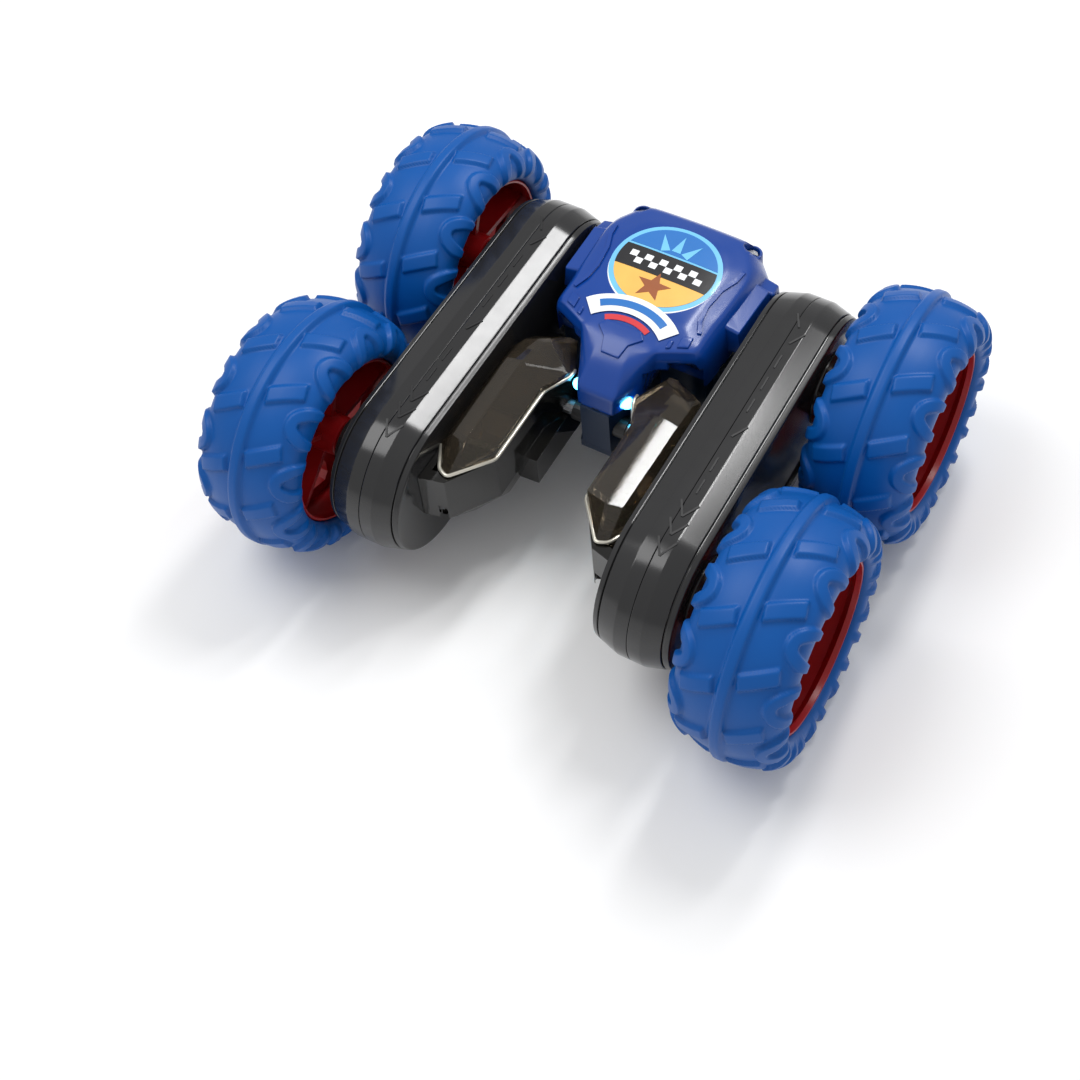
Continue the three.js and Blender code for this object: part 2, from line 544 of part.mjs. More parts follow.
// One closed skin over the tyre: each pitch has a raised lug and a groove with steep ends, and
// the two sides of the rib are half a pitch apart.
function tyre() {
  const pitch = (2 * Math.PI) / LUG_PITCHES;
  const stations = [0, 0.07, 0.5, 0.57];
  const raised = (k) => k === 1 || k === 2;
  const across = [
    ...TYRE_IN.map(([x, r]) => [-x, r, r]).reverse(),
    ...TREAD.map(([x, low, high]) => [-x, low, high]).reverse(),
    ...TREAD,
    ...TYRE_IN.map(([x, r]) => [x, r, r]),
  ].map(([x, low, high]) => [x, low, high, x < 0 ? 0 : 2]);
  const positions = [];
  const index = [];
  for (let i = 0; i < LUG_PITCHES; i++) {
    stations.forEach((f, k) => {
      const a = (i + f) * pitch - Math.PI / 2; // a corner of the rib stands on the floor
      for (const [x, low, high, shift] of across) {
        const r = raised((k + shift) % 4) ? high : low;
        positions.push(x, r * Math.cos(a), r * Math.sin(a));
      }
    });
  }
  const n = across.length;
  const m = LUG_PITCHES * stations.length;
  for (let i = 0; i < m; i++) {
    for (let j = 0; j < n; j++) {
      const a = i * n + j;
      const b = i * n + ((j + 1) % n);
      const c = ((i + 1) % m) * n + j;
      const d = ((i + 1) % m) * n + ((j + 1) % n);
      index.push(a, c, b, b, c, d);
    }
  }
  const g = new THREE.BufferGeometry();
  g.setAttribute("position", new THREE.Float32BufferAttribute(positions, 3));
  g.setIndex(index);
  return solid(g);
}

// Rim: drum, bead flanges, dished web with five windows near the outer side, and the axle hub.
function rim() {
  const drum = ring([
    [-T + 0.6, 22.2], [-T + 0.6, 23.8], [-T + 3.3, 27.4], [T - 3.3, 27.4], [T - 0.6, 23.8],
    [T - 0.6, 22.2], [T - 4.6, 25.8], [-T + 4.6, 25.8],
  ], 16);
  const web = ring([[-1.4, 4.0], [0.8, 8.0], [-1.0, 26.4], [1.4, 26.4], [2.8, 8.4], [2.8, 4.0]], 16);
  const hub = ring([[-6.5, 2.1], [-6.5, 5.4], [4.4, 5.4], [4.4, 2.1]], 10);
  const windows = [];
  for (let i = 0; i < 5; i++) {
    const a = (2 * Math.PI * i) / 5;
    const corner = (x, r, da) => [x, r * Math.cos(a + da), r * Math.sin(a + da)];
    const corners = [[10.5, -0.3], [10.5, 0.3], [20.5, 0.34], [20.5, -0.34]];
    windows.push(hull([-8, 8].flatMap((x) => corners.map(([r, da]) => corner(x, r, da)))));
  }
  return cut(join([drum, web, hub]), ...windows);
}

const tyreShape = tyre();
const rimShape = rim();
const WHEEL_X = TRACK / 2;
const axleShape = join([rodX(1.9, 31.0, 72.0, 0, 0, 14), rodX(2.6, 41.0, 45.2, 0, 0, 14)]);
const capShape = turned([[73.5, 0], [73.5, 4.6], [74.5, 4.6], [75.5, 3.2], [75.7, 0]], 20);
const axleGear = trainGear(0, 2.75);

for (const side of ["left", "right"]) {
  const m = side === "left";
  for (const [end, s] of [["front", -1], ["rear", 1]]) {
    const to = (shape) => shape.translate([0, s * AXLE_Y, 0]);
    add(`tyre_${end}_${side}`, to(tyreShape.translate([WHEEL_X, 0, 0])), BLUE_RUBBER, m);
    add(`rim_${end}_${side}`, to(rimShape.translate([WHEEL_X, 0, 0])), RED_PLASTIC, m);
    add(`axle_${end}_${side}`, to(axleShape), STEEL, m);
    add(`axle_gear_${end}_${side}`, to(axleGear), WHITE_NYLON, m);
    add(`hub_cap_${end}_${side}`, to(capShape), RED_PLASTIC, m);
  }
}

export default car;
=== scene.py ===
"""Looks of the double-sided stunt car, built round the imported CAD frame.

Shapes are written in millimetres from the axle plane, as in the CAD source: X along the axles,
the nose towards -Y, +Z up. make() turns them into metres, with z = 0 under the tyres.
"""
import math

import bmesh
import bpy
from mathutils import Matrix, Vector
from mathutils.bvhtree import BVHTree


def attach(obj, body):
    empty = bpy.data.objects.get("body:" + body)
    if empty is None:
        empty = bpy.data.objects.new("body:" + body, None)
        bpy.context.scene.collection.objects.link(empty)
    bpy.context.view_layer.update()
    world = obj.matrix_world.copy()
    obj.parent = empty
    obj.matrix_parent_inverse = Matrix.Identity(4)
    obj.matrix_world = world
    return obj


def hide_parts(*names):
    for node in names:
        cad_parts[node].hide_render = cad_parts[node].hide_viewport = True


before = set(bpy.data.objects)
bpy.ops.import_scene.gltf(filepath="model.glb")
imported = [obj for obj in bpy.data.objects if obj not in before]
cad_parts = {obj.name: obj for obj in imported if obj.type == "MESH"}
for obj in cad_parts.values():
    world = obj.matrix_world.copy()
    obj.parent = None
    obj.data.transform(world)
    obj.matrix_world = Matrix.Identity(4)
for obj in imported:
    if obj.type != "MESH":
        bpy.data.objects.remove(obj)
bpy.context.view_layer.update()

# ---- dimensions shared with the CAD ----------------------------------------------------------
MM = 0.001
AXLE_Z = 35.0
AXLE_Y = 36.75
WHEEL_X = 68.8
ARM_X = 38.8
CASE_R = 22.0
POCKET_R = 18.3
POCKET_X = 9.2
WELD_GAP = 2e-6
SIDES = (("left", -1), ("right", 1))
ENDS = (("front", -1), ("rear", 1))


# ---- materials -------------------------------------------------------------------------------
def linear(rgb):
    """sRGB 0-255 to linear."""
    out = []
    for c in rgb:
        c = c / 255
        out.append(c / 12.92 if c <= 0.04045 else ((c + 0.055) / 1.055) ** 2.4)
    return out


def finish(name, rgb, rough, *, metal=0.0, spread=0.08, grain=1500.0, bump=0.05, blotch=70.0,
           rough_spread=0.05, bump_size=0.00012, streak=None, **sockets):
    """Moulded or turned surface: colour variation, uneven gloss and a fine grain in the bump."""
    mat = bpy.data.materials.new(name)
    mat.use_nodes = True
    tree = mat.node_tree
    shader = tree.nodes["Principled BSDF"]
    where = tree.nodes.new("ShaderNodeTexCoord").outputs["Object"]
    if streak:
        stretch = tree.nodes.new("ShaderNodeMapping")
        stretch.inputs["Scale"].default_value = streak
        tree.links.new(where, stretch.inputs["Vector"])
        where = stretch.outputs["Vector"]

    def noise(scale, detail):
        n = tree.nodes.new("ShaderNodeTexNoise")
        n.inputs["Scale"].default_value = scale
        n.inputs["Detail"].default_value = detail
        tree.links.new(where, n.inputs["Vector"])
        return n.outputs["Fac"]

    base = linear(rgb)
    mix = tree.nodes.new("ShaderNodeMix")
    mix.data_type = "RGBA"
    mix.inputs[6].default_value = (*[c * (1 - spread) for c in base], 1)
    mix.inputs[7].default_value = (*[min(1, c * (1 + spread)) for c in base], 1)
    tree.links.new(noise(blotch, 3), mix.inputs[0])
    tree.links.new(mix.outputs[2], shader.inputs["Base Color"])
    uneven = tree.nodes.new("ShaderNodeMapRange")
    uneven.inputs["To Min"].default_value = max(0.01, rough - rough_spread)
    uneven.inputs["To Max"].default_value = rough + rough_spread
    tree.links.new(noise(blotch * 2.5, 4), uneven.inputs["Value"])
    tree.links.new(uneven.outputs["Result"], shader.inputs["Roughness"])
    relief = tree.nodes.new("ShaderNodeBump")
    relief.inputs["Strength"].default_value = bump
    relief.inputs["Distance"].default_value = bump_size
    tree.links.new(noise(grain, 2), relief.inputs["Height"])
    tree.links.new(relief.outputs["Normal"], shader.inputs["Normal"])
    shader.inputs["Metallic"].default_value = metal
    for key, value in sockets.items():
        shader.inputs[key.replace("_", " ")].default_value = value
    return mat


RUBBER = finish("tyre_rubber", (2, 80, 156), 0.4, spread=0.07, grain=2600, bump=0.12, blotch=45,
                Specular_IOR_Level=0.26)
RED = finish("rim_plastic", (158, 16, 20), 0.32, spread=0.06, grain=1800, bump=0.05)
HOOD = finish("hood_plastic", (7, 60, 142), 0.24, spread=0.05, grain=2200, bump=0.05)
# Navy: the body's blue darkened, painted shade on the belly shell and the parts under the car.
SHADED_NAVY = finish("chassis_plastic_painted_shade", (6, 32, 60), 0.3, spread=0.08, grain=2000, bump=0.05)
BLACK = finish("arm_gloss", (36, 36, 37), 0.16, spread=0.12, grain=2400, bump=0.03, blotch=90,
               rough_spread=0.03)
TUB = finish("tub_smoke", (13, 12, 10), 0.1, spread=0.2, grain=1500, bump=0.05, blotch=120,
             rough_spread=0.03)
MATTE = finish("boss_black", (17, 17, 19), 0.42, spread=0.12, grain=1800, bump=0.1)
SMOKE = finish("smoked_clear", (134, 121, 102), 0.05, spread=0.08, grain=900, bump=0.02,
               rough_spread=0.02, Transmission_Weight=0.92, IOR=1.46)
# Bead: a real lip on the cover's rim, its bright colour a painted highlight.
BEAD_HIGHLIGHT = finish("bead_painted_highlight", (206, 202, 190), 0.16, spread=0.15, grain=700, bump=0.1, blotch=260,
              metal=0.6)
STEEL = finish("steel", (178, 180, 184), 0.28, metal=1.0, spread=0.06, grain=1500, bump=0.08,
               streak=(1, 12, 1))
CAN = finish("motor_can", (150, 150, 152), 0.34, metal=1.0, spread=0.08, grain=900, bump=0.1,
             streak=(10, 1, 1))
BRASS = finish("brass", (190, 148, 74), 0.3, metal=1.0, spread=0.08, grain=1500, bump=0.08)
NYLON = finish("nylon", (224, 221, 208), 0.42, spread=0.04, grain=1500, bump=0.06)
BOARD = finish("board_green", (26, 84, 48), 0.4, spread=0.18, grain=800, bump=0.2, blotch=500)
WRAP = finish("cell_wrap", (40, 105, 82), 0.3, spread=0.06, grain=1200, bump=0.05)
LENS = finish("lens_cool", (190, 236, 255), 0.12, spread=0.05, grain=900, bump=0.05,
              Transmission_Weight=0.3, Emission_Color=(0.12, 0.72, 1.0, 1), Emission_Strength=5.0)
PRINTS = {
    "sky": (112, 190, 232), "deep": (34, 110, 186), "ink": (24, 24, 28), "white": (240, 243, 246),
    "tan": (238, 184, 92), "rust": (150, 84, 46), "crimson": (206, 44, 52),
}
PRINT = {
    key: finish("print_" + key, rgb, 0.3, spread=0.1 if key in ("tan", "rust", "sky") else 0.04,
                blotch=180, grain=3000, bump=0.03, Coat_Weight=0.3, Coat_Roughness=0.1)
    for key, rgb in PRINTS.items()
}
PALE = finish("floor_pale", (246, 246, 246), 0.65, spread=0.01, blotch=6, grain=60, bump=0.02)


# ---- mesh helpers ----------------------------------------------------------------------------
def make(name, verts, faces, mat=None, mirror=False, at=(0, 0, 0)):
    """Object from millimetres about the axle plane; mirror reflects it in the plane x = 0."""
    sign = -1 if mirror else 1
    dx, dy, dz = at
    places = [(sign * (x + dx) * MM, (y + dy) * MM, (z + dz + AXLE_Z) * MM) for x, y, z in verts]
    mesh = bpy.data.meshes.new(name)
    mesh.from_pydata(places, [], outward(places, faces))
    obj = bpy.data.objects.new(name, mesh)
    bpy.context.scene.collection.objects.link(obj)
    if mat:
        mesh.materials.append(mat)
    return obj


def outward(places, faces):
    """The faces of a closed mesh, all turned over if they enclose a negative volume."""
    total = 0.0
    for f in faces:
        a = Vector(places[f[0]])
        for i in range(1, len(f) - 1):
            total += a.dot(Vector(places[f[i]]).cross(Vector(places[f[i + 1]])))
    return [f[::-1] for f in faces] if total < 0 else faces


def apply(obj):
    """Replaces the mesh by what its modifiers make of it."""
    graph = bpy.context.evaluated_depsgraph_get()
    mesh = bpy.data.meshes.new_from_object(obj.evaluated_get(graph), depsgraph=graph)
    old = obj.data
    obj.modifiers.clear()
    obj.data = mesh
    mesh.name = obj.name
    bpy.data.meshes.remove(old)


def boolean(obj, tools, kind="DIFFERENCE"):
    for tool in tools:
        mod = obj.modifiers.new("bool", "BOOLEAN")
        mod.operation = kind
        mod.solver = "MANIFOLD"
        mod.object = tool
    apply(obj)
    for tool in tools:
        bpy.data.objects.remove(tool)


def bevel(obj, width, angle, segments):
    """Modifiers that weld the mesh and round its edges by width in millimetres."""
    weld = obj.modifiers.new("weld", "WELD")
    weld.merge_threshold = WELD_GAP
    mod = obj.modifiers.new("bevel", "BEVEL")
    mod.width = width * MM
    mod.segments = segments
    mod.limit_method = "ANGLE"
    mod.angle_limit = math.radians(angle)
    return mod


def soften(obj, width, angle=28, segments=2, shade=40):
    """Rounds the edges by width in millimetres and shades the rest smooth up to an angle."""
    if width:
        mod = bevel(obj, width, angle, segments)
        mod.miter_outer = "MITER_ARC"
        mod.use_clamp_overlap = True
        apply(obj)
    obj.data.shade_smooth()
    obj.data.set_sharp_from_angle(angle=math.radians(shade))
    even = obj.modifiers.new("even", "WEIGHTED_NORMAL")
    even.keep_sharp = True
    apply(obj)
    return obj


def place(obj, body, *nodes, slot=None):
    """Rides on a body and stands for CAD nodes; slot is not used."""
    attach(obj, body)
    if nodes:
        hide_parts(*nodes)


def lathe(profile, segments, axis="x", closed=True):
    """Turned solid: profile is [along, radius]; closed joins its last point to its first."""
    verts, faces, rows = [], [], []
    for along, r in profile:
        if r < 1e-6:
            rows.append([len(verts)])
            verts.append((along, 0, 0))
            continue
        rows.append(list(range(len(verts), len(verts) + segments)))
        for i in range(segments):
            a = 2 * math.pi * i / segments
            verts.append((along, r * math.cos(a), r * math.sin(a)))
    pairs = list(zip(rows, rows[1:]))
    if closed:
        pairs.append((rows[-1], rows[0]))
    for a, b in pairs:
        for i in range(segments):
            j = (i + 1) % segments
            if len(a) == 1:
                faces.append((a[0], b[i], b[j]))
            elif len(b) == 1:
                faces.append((a[i], b[0], a[j]))
            else:
                faces.append((a[i], b[i], b[j], a[j]))
    if axis == "z":
        verts = [(y, z, x) for x, y, z in verts]
    return verts, faces


def drum(r, x0, x1, segments, y=0.0, z=0.0):
    """Rod along X."""
    verts, faces = lathe([(x0, 0), (x0, r), (x1, r), (x1, 0)], segments, closed=False)
    return [(a, b + y, c + z) for a, b, c in verts], faces


def post(r, z0, z1, segments, x, y):
    """Rod along Z."""
    verts, faces = lathe([(z0, 0), (z0, r), (z1, r), (z1, 0)], segments, "z", closed=False)
    return [(a + x, b + y, c) for a, b, c in verts], faces


def loft(layers):
    """Solid through stacked outlines [z, [(x, y), ...]]."""
    n = len(layers[0][1])
    verts = [(x, y, z) for z, outline in layers for x, y in outline]
    faces = []
    for k in range(len(layers) - 1):
        for i in range(n):
            j = (i + 1) % n
            faces.append((k * n + i, k * n + j, (k + 1) * n + j, (k + 1) * n + i))
    faces.append(tuple(range(n))[::-1])
    faces.append(tuple(range((len(layers) - 1) * n, len(layers) * n)))
    return verts, faces


def brick(x0, x1, y0, y1, z0, z1):
    outline = [(x0, y0), (x1, y0), (x1, y1), (x0, y1)]
    return loft([[z0, outline], [z1, outline]])


def hull(name, points, mirror=False):
    """Convex hull of points, its flat triangles merged."""
    obj = make(name, points, [], None, mirror)
    bm = bmesh.new()
    bm.from_mesh(obj.data)
    made = bmesh.ops.convex_hull(bm, input=bm.verts)
    spare = made["geom_interior"] + made["geom_unused"]
    loose = [g for g in spare if isinstance(g, bmesh.types.BMVert)]
    bmesh.ops.delete(bm, geom=list(set(loose)), context="VERTS")
    bmesh.ops.dissolve_limit(bm, angle_limit=0.01, verts=bm.verts, edges=bm.edges)
    bmesh.ops.recalc_face_normals(bm, faces=bm.faces)
    bm.to_mesh(obj.data)
    bm.free()
    return obj


def merge(name, parts, mat):
    """One object from several, joined by union."""
    first = parts[0]
    boolean(first, parts[1:], "UNION")
    first.name = name
    first.data.name = name
    first.data.materials.clear()
    first.data.materials.append(mat)
    return first


def smoothstep(lo, hi, v):
    t = min(1.0, max(0.0, (v - lo) / (hi - lo)))
    return t * t * (3 - 2 * t)


# ---- tyres -----------------------------------------------------------------------------------
PITCHES = 12
LUG = 1.0
STEPS_PER_PITCH = 40
# Half sections as [x from the tyre's middle, radius].
HALF = [(0, 33.5), (3, 33.42), (6, 33.05), (8.5, 32.45), (10.5, 31.75), (12.0, 30.95),
        (13.2, 29.95), (14.0, 28.8), (14.45, 27.4), (14.6, 26.0), (14.45, 24.8), (13.9, 23.8),
        (13.0, 23.3), (12.0, 23.35)]
INSIDE = [(11.4, 23.9), (11.2, 27.5), (4.0, 28.4)]
SECTION_STEP = 0.42
SMOOTHING_PASSES = 6
RIB = 1.45
BAR_SLANT = 0.95     # degrees round the tyre per millimetre of x
BAR_FRONT = 122.0    # degrees at which one bar's front edge crosses the middle
BAR_SQUARE = 0.87    # from the distance round the tyre to that square to a bar
BAR_WIDTH = 4.0
BAR_FLARE = 0.9
HOOK_LEAD = {1: 1.0, -1: 22.5}    # degrees from BAR_FRONT to a hook, on either side


def carcass():
    """Tread and sidewalls as evenly spaced points: (x, r, arc length from the crown, normal)."""
    fine = []
    for (x0, r0), (x1, r1) in zip(HALF, HALF[1:]):
        steps = max(1, round(math.hypot(x1 - x0, r1 - r0) / SECTION_STEP))
        fine += [(x0 + (x1 - x0) * i / steps, r0 + (r1 - r0) * i / steps) for i in range(steps)]
    fine.append(HALF[-1])
    smooth = fine
    for _ in range(SMOOTHING_PASSES):
        smooth = [smooth[0]] + [
            tuple((smooth[i - 1][k] + 2 * smooth[i][k] + smooth[i + 1][k]) / 4 for k in (0, 1))
            for i in range(1, len(smooth) - 1)
        ] + [smooth[-1]]
    rows, arc = [], 0.0
    for i, (x, r) in enumerate(smooth):
        a, b = smooth[max(0, i - 1)], smooth[min(len(smooth) - 1, i + 1)]
        if i:
            arc += math.hypot(x - a[0], r - a[1])
        d = math.hypot(b[0] - a[0], b[1] - a[1])
        rows.append((x, r, arc, -(b[1] - a[1]) / d, (b[0] - a[0]) / d))
    rows[0] = (0.0, rows[0][1], 0.0, 0.0, 1.0)
    left = [(-x, r, -s, -nx, nr) for x, r, s, nx, nr in rows[:0:-1]]
    return left + rows


def lug_height(x, s, r, degrees):
    """Height of rib, slanted bars and open hooks over the carcass."""
    per = 360 / PITCHES
    mm_per_degree = math.radians(1) * r
    rib = RIB * smoothstep(2.05, 1.05, abs(x))
    along = (degrees + BAR_SLANT * x - BAR_FRONT + per / 2) % per - per / 2
    ahead = along * mm_per_degree * BAR_SQUARE
    shift = -BAR_FLARE * min(1, max(0, -ahead / BAR_WIDTH))
    near, far = (2.9, 11.3) if x > 0 else (-10.7, -2.6)
    inside = min(-ahead, BAR_WIDTH + ahead, x - near - shift, far + shift - x)
    bar = LUG * smoothstep(-0.28, 0.22, inside)
    centre = BAR_FRONT + HOOK_LEAD[1 if s > 0 else -1]
    off = (degrees - centre + per / 2) % per - per / 2
    across = off * math.radians(1) * max(r, 29.0)
    reach = abs(s)
    outer_width = 5.1 + 0.12 * max(0, reach - 12)
    notch_width = 1.9 + 0.3 * max(0, reach - 14)
    outer = 1 - math.hypot(max(0.0, 15.0 - reach) / 5.4, across / outer_width)
    notch = 1 - math.hypot(max(0.0, 16.0 - reach) / 3.3, across / notch_width)
    band = min(outer * 5.2, -notch * 2.4)
    fade = smoothstep(20.5, 17.0, reach)
    hook = (LUG + 0.15) * smoothstep(-0.25, 0.3, band) * fade
    return max(rib, bar, hook)


def tyre_mesh():
    """Tyre about the X axis, its tread raised along the carcass's normals."""
    around = PITCHES * STEPS_PER_PITCH
    rows = carcass()
    ring = [(x, r, None, 0, 0) for x, r in INSIDE] + [(-x, r, None, 0, 0) for x, r in INSIDE[::-1]]
    section = rows + ring
    verts, faces = [], []
    for i in range(around):
        degrees = 360 * i / around
        a = math.radians(degrees)
        for x, r, s, nx, nr in section:
            h = 0 if s is None else lug_height(x, s, r, degrees)
            px, pr = x + nx * h, r + nr * h
            verts.append((px, pr * math.cos(a), pr * math.sin(a)))
    n = len(section)
    for i in range(around):
        for j in range(n):
            k, m = (i + 1) % around, (j + 1) % n
            faces.append((i * n + j, k * n + j, k * n + m, i * n + m))
    return verts, faces


# ---- rims ------------------------------------------------------------------------------------
SPOKES = 5
# Turned profiles as [x from the wheel's middle, radius].
RIM_BARREL = [(-12.6, 22.4), (-12.7, 22.9), (-12.4, 23.2), (-11.2, 23.3), (-10.9, 27.2),
              (10.9, 27.2), (11.2, 23.3), (12.4, 23.2), (12.7, 22.9), (12.6, 22.4), (11.2, 22.2),
              (9.4, 25.2), (-9.4, 25.2), (-11.2, 22.2)]
RIM_WEB = [(-2.2, 3.0), (-2.0, 6.4), (0.2, 9.5), (-0.2, 15.0), (-0.8, 21.0), (-1.8, 26.0),
           (0.8, 26.0), (1.6, 21.0), (2.4, 15.0), (3.2, 9.0), (3.8, 6.0), (3.8, 3.0)]
RIM_HUB = [(-10.8, 2.2), (-10.8, 5.0), (-10.4, 5.4), (0.0, 5.9), (4.2, 5.6), (4.7, 5.0),
           (4.7, 2.2)]
# A window's outline as [radius, half its width in radians], and a rib's corners as [x, radius,
# distance across].
WINDOW_X = (-6.0, 8.0)
WINDOW = [(10.6, 0.16), (12.0, 0.24), (18.4, 0.34), (21.4, 0.31), (22.8, 0.22)]
SPOKE_RIB = [(-6.6, 4.6, 0.8), (-6.6, 4.6, -0.8), (3.4, 4.6, 1.7), (3.4, 4.6, -1.7),
             (-7.5, 25.9, 0.7), (-7.5, 25.9, -0.7), (2.4, 25.9, 1.4), (2.4, 25.9, -1.4)]
CAP = [(4.8, 0), (4.8, 4.9), (5.6, 4.9), (6.3, 4.5), (6.6, 3.6), (6.4, 2.6), (5.9, 2.4), (5.9, 0)]
CAP_SCREW = [(5.95, 0), (5.95, 2.2), (6.5, 2.2), (6.8, 1.7), (6.9, 0)]
CROSS_X = (74.9, 77.0)
CROSS_HALF = (1.4, 0.35)


def rim_object(name, mirror, at):
    barrel = make(name, *lathe(RIM_BARREL, 96), RED, mirror, at)
    web = make("web", *lathe(RIM_WEB, 96), None, mirror, at)
    hub = make("hub", *lathe(RIM_HUB, 64), None, mirror, at)
    windows, ribs = [], []
    for i in range(SPOKES):
        a = 2 * math.pi * (i + 0.5) / SPOKES
        pts = []
        for x in WINDOW_X:
            for r, w in WINDOW:
                for b in (a - w, a + w):
                    pts.append((x + at[0], r * math.cos(b) + at[1], r * math.sin(b) + at[2]))
        windows.append(hull("window", pts, mirror))
        b = 2 * math.pi * i / SPOKES
        c, s = math.cos(b), math.sin(b)
        pts = [(x + at[0], r * c - w * s + at[1], r * s + w * c + at[2]) for x, r, w in SPOKE_RIB]
        ribs.append(hull("rib", pts, mirror))
    rim = merge(name, [barrel, web, hub] + ribs, RED)
    boolean(rim, windows)
    return soften(rim, 0.35, 30, 2, 42)


def wheels():
    tyre = tyre_mesh()
    for side, s in SIDES:
        for end, e in ENDS:
            body = f"wheel_{end}_{side}"
            obj = make(f"tread_{end}_{side}", *tyre, RUBBER, at=(s * WHEEL_X, e * AXLE_Y, 0))
            obj.data.shade_smooth()
            place(obj, body, f"tyre_{end}_{side}", slot="tyre_blue")
            at = (WHEEL_X, e * AXLE_Y, 0)
            rim = rim_object(f"spoked_rim_{end}_{side}", s < 0, at)
            place(rim, body, f"rim_{end}_{side}", slot="rim_red")
            cap = make(f"wheel_cap_{end}_{side}", *lathe(CAP, 64, closed=False), RED, s < 0, at)
            cross = [make("slot", *brick(*CROSS_X, -a, a, -b, b), None, s < 0, (0, e * AXLE_Y, 0))
                     for a, b in (CROSS_HALF, CROSS_HALF[::-1])]
            screw = make(f"wheel_screw_{end}_{side}", *lathe(CAP_SCREW, 40, closed=False), STEEL,
                         s < 0, at)
            boolean(screw, cross)
            place(soften(cap, 0.12), body, f"hub_cap_{end}_{side}", slot="rim_red")
            place(soften(screw, 0.06), body, slot="steel")


# ---- gear-case arms --------------------------------------------------------------------------
def stadium(profile, segments=40):
    """Stacked stadium outlines along X, in rising x: [x, radius]."""
    verts, faces = [], []
    n = 2 * (segments + 1)
    for x, r in profile:
        for side, start in ((1, -math.pi / 2), (-1, math.pi / 2)):
            for i in range(segments + 1):
                a = start + math.pi * i / segments
                verts.append((x, side * AXLE_Y + r * math.cos(a), r * math.sin(a)))
    for k in range(len(profile) - 1):
        for i in range(n):
            j = (i + 1) % n
            faces.append((k * n + i, k * n + j, (k + 1) * n + j, (k + 1) * n + i))
    faces.append(tuple(range(n))[::-1])
    faces.append(tuple(range((len(profile) - 1) * n, len(profile) * n)))
    return verts, faces


# Half of an arm's section as [distance from its middle plane, radius round an axle].
SECTION = [(0.05, 21.8), (0.1, 21.95), (0.2, CASE_R), (3.5, CASE_R), (3.75, 21.965),
           (4.0, 21.88), (8.3, 20.64), (8.5, 20.54), (8.6, 20.38), (8.62, 19.75), (8.95, 19.7),
           (8.98, 20.18), (9.06, 20.3), (9.2, 20.34), (10.25, 20.02), (10.4, 19.9), (10.5, 19.6),
           (10.5, 19.0)]
OUTER_BOSS = [(47.8, 2.3), (47.8, 10.8), (49.0, 10.6), (49.6, 9.4), (50.2, 8.6), (55.2, 8.2),
              (56.0, 8.0), (56.4, 7.4), (56.4, 5.2), (55.0, 4.8), (55.0, 2.3)]
INNER_BOSS = [(29.6, 2.3), (29.6, 3.6), (39.4, 3.6), (39.4, 2.3)]
# V marks as [y of the point, the legs it has], and the dashed line's starts.
MARKS = [(-43.4, (-1, 1)), (-37.4, (-1, 1)), (-31.5, (-1, 1)), (-4.6, (1,)), (29.0, (1,)),
         (35.0, (-1,))]
MARK_X = 1.4
MARK_DEPTH, MARK_RISE = 0.25, 0.24
LEG_RUN, LEG_RISE, LEG_HALF = 2.4, 4.4, 0.26
DASHES = (-24.0, -16.5, 4.0, 12.0, 20.0)
DASH_LENGTH, DASH_HALF = 4.6, 0.2


def chevron(y0, legs):
    """Plan outlines of one V of thin ridges on the arm's band, its point towards the nose."""
    lines = []
    for leg in legs:
        size = math.hypot(LEG_RUN, LEG_RISE)
        px, py = -LEG_RISE / size * LEG_HALF, leg * LEG_RUN / size * LEG_HALF
        x1, y1 = leg * LEG_RUN, y0 + LEG_RISE
        lines.append([(-px, y0 - py), (x1 - px, y1 - py), (x1 + px, y1 + py), (px, y0 + py)])
    return lines


def band_height(y):
    """Height of an arm's top above the axle plane."""
    beyond = max(0.0, abs(y) - AXLE_Y)
    return math.sqrt(CASE_R ** 2 - beyond ** 2)


def arm_marks(side, s):
    """V marks and the dashed joint line, which run along the same side of the band on both arms."""
    parts = []
    centre = s * ARM_X + MARK_X
    lines = [line for y0, legs in MARKS for line in chevron(y0, legs)]
    for y0 in DASHES:
        y1 = y0 + DASH_LENGTH
        lines.append([(-DASH_HALF, y0), (DASH_HALF, y0), (DASH_HALF, y1), (-DASH_HALF, y1)])
    for line in lines:
        low = [(centre + x, y, band_height(y) - MARK_DEPTH) for x, y in line]
        high = [(centre + x, y, band_height(y) + MARK_RISE) for x, y in line]
        walls = [(i, (i + 1) % 4, (i + 1) % 4 + 4, i + 4) for i in range(4)]
        parts.append(make("mark", low + high, [(3, 2, 1, 0), (4, 5, 6, 7)] + walls))
    marks = merge(f"arm_marks_{side}", parts, MATTE)
    place(soften(marks, 0.1, 30, 2), f"arm_{side}", slot="arm_black")


def arm_halves(side, s):
    """Outer and inner gear case, each hollow, with its axle bosses."""
    mirror = s < 0
    for outer in (True, False):
        d = 1 if outer else -1
        steps = [(ARM_X + d * u, r) for u, r in SECTION]
        if not outer:
            steps = steps[::-1]
        name = f"arm_case_{'outer' if outer else 'inner'}_{side}"
        case = make(name, *stadium(steps), BLACK, mirror)
        room = ([(ARM_X - 1, 19.6), (ARM_X + 8.4, 18.6)] if outer
                else [(ARM_X - 8.4, 18.6), (ARM_X + 1, 19.6)])
        tools = [make("room", *stadium(room), None, mirror)]
        if outer:
            panel = [(ARM_X + 9.8, 16.6), (ARM_X + 12, 17.0)]
            tools.append(make("panel", *stadium(panel), None, mirror))
        boolean(case, tools)
        boss = lathe(OUTER_BOSS, 72) if outer else lathe(INNER_BOSS, 40)
        adds = [make("boss", *boss, None, mirror, (0, e * AXLE_Y, 0)) for e in (-1, 1)]
        merge(name, [case] + adds, BLACK)
        node = f"gear_case_{'outer' if outer else 'inner'}_{side}"
        place(soften(case, 0, shade=24), f"arm_{side}", node, slot="arm_black")
    arm_marks(side, s)
